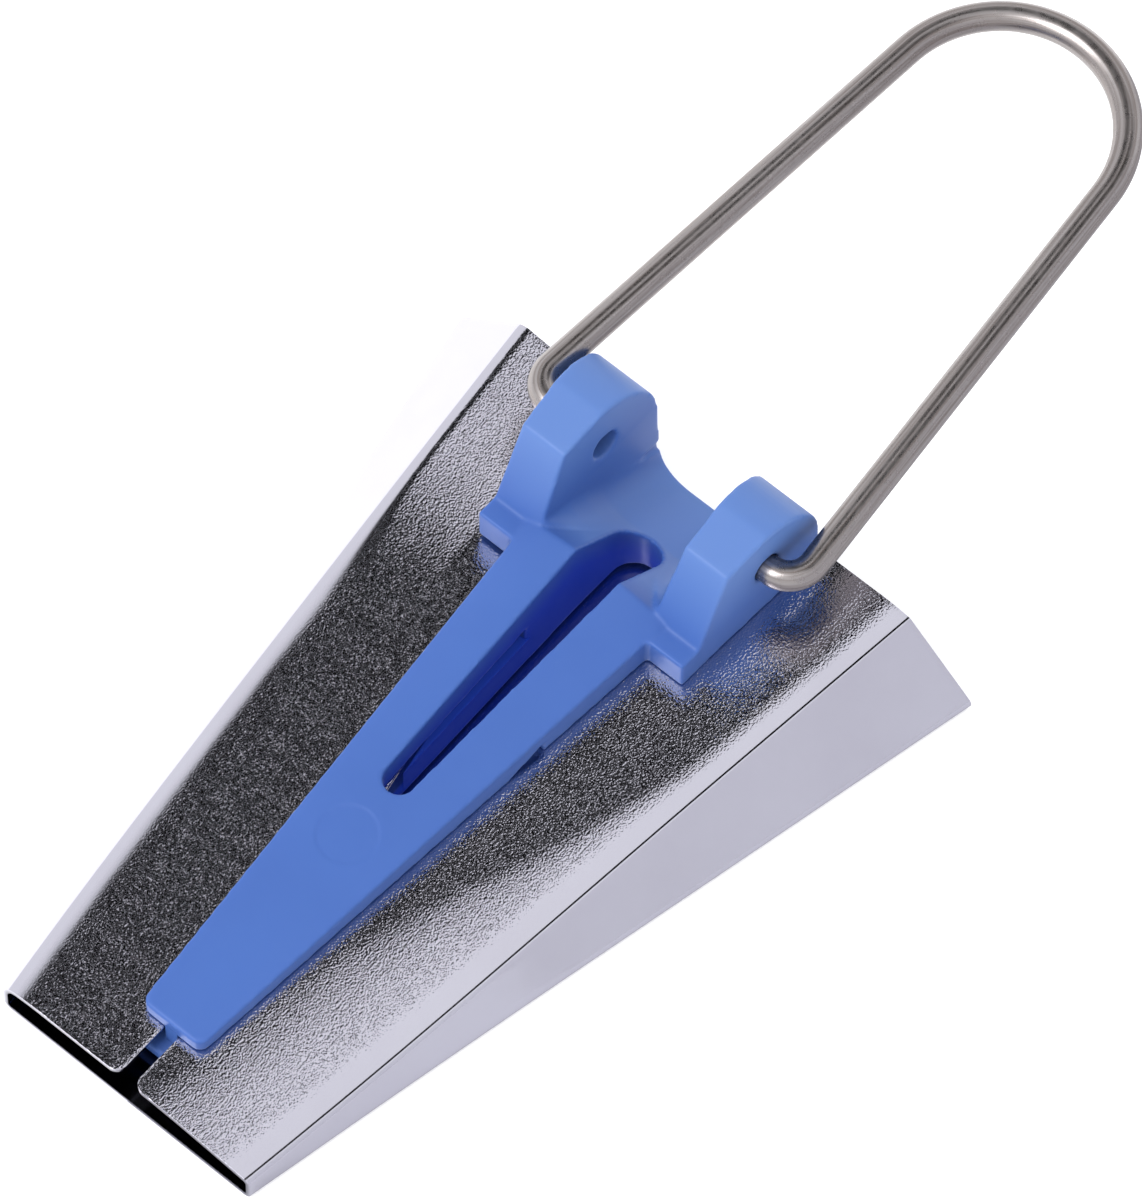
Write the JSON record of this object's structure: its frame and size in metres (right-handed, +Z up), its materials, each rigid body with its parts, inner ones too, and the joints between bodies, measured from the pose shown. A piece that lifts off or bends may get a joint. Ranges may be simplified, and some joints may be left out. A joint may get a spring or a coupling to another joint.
{
  "type": "bias tape maker",
  "caption": "Tapered sheet-steel bias tape maker with a slotted plastic guide on top and a hinged wire bail; it folds a drawn cloth strip into tape.",
  "frame": {"origin": "bottom centre of the whole tool's box, on the plane that it rests on, with the bail out as at rest", "axes": "+X along the tool from the narrow mouth to the bail, +Y to the left across it, +Z up out of the flat bottom"},
  "size_m": [0.0938, 0.0436, 0.015],
  "materials": {
    "plated_sheet": "nickel plated, fine pebble texture on the top flaps, smooth elsewhere",
    "blue_plastic": "satin injection moulding",
    "steel_wire": "bright drawn wire"
  },
  "bodies": {
    "tool": {"folded_body": "plated_sheet", "slotted_guide": "blue_plastic"},
    "bail": {"wire_bail": "steel_wire"}
  },
  "joints": [
    {"name": "bail_hinge", "type": "hinge", "parent": "tool", "child": "bail", "pos_m": [0.00432, 0, 0.0105], "axis": [0, -1, 0], "range_deg": [-30, 178]}
  ]
}
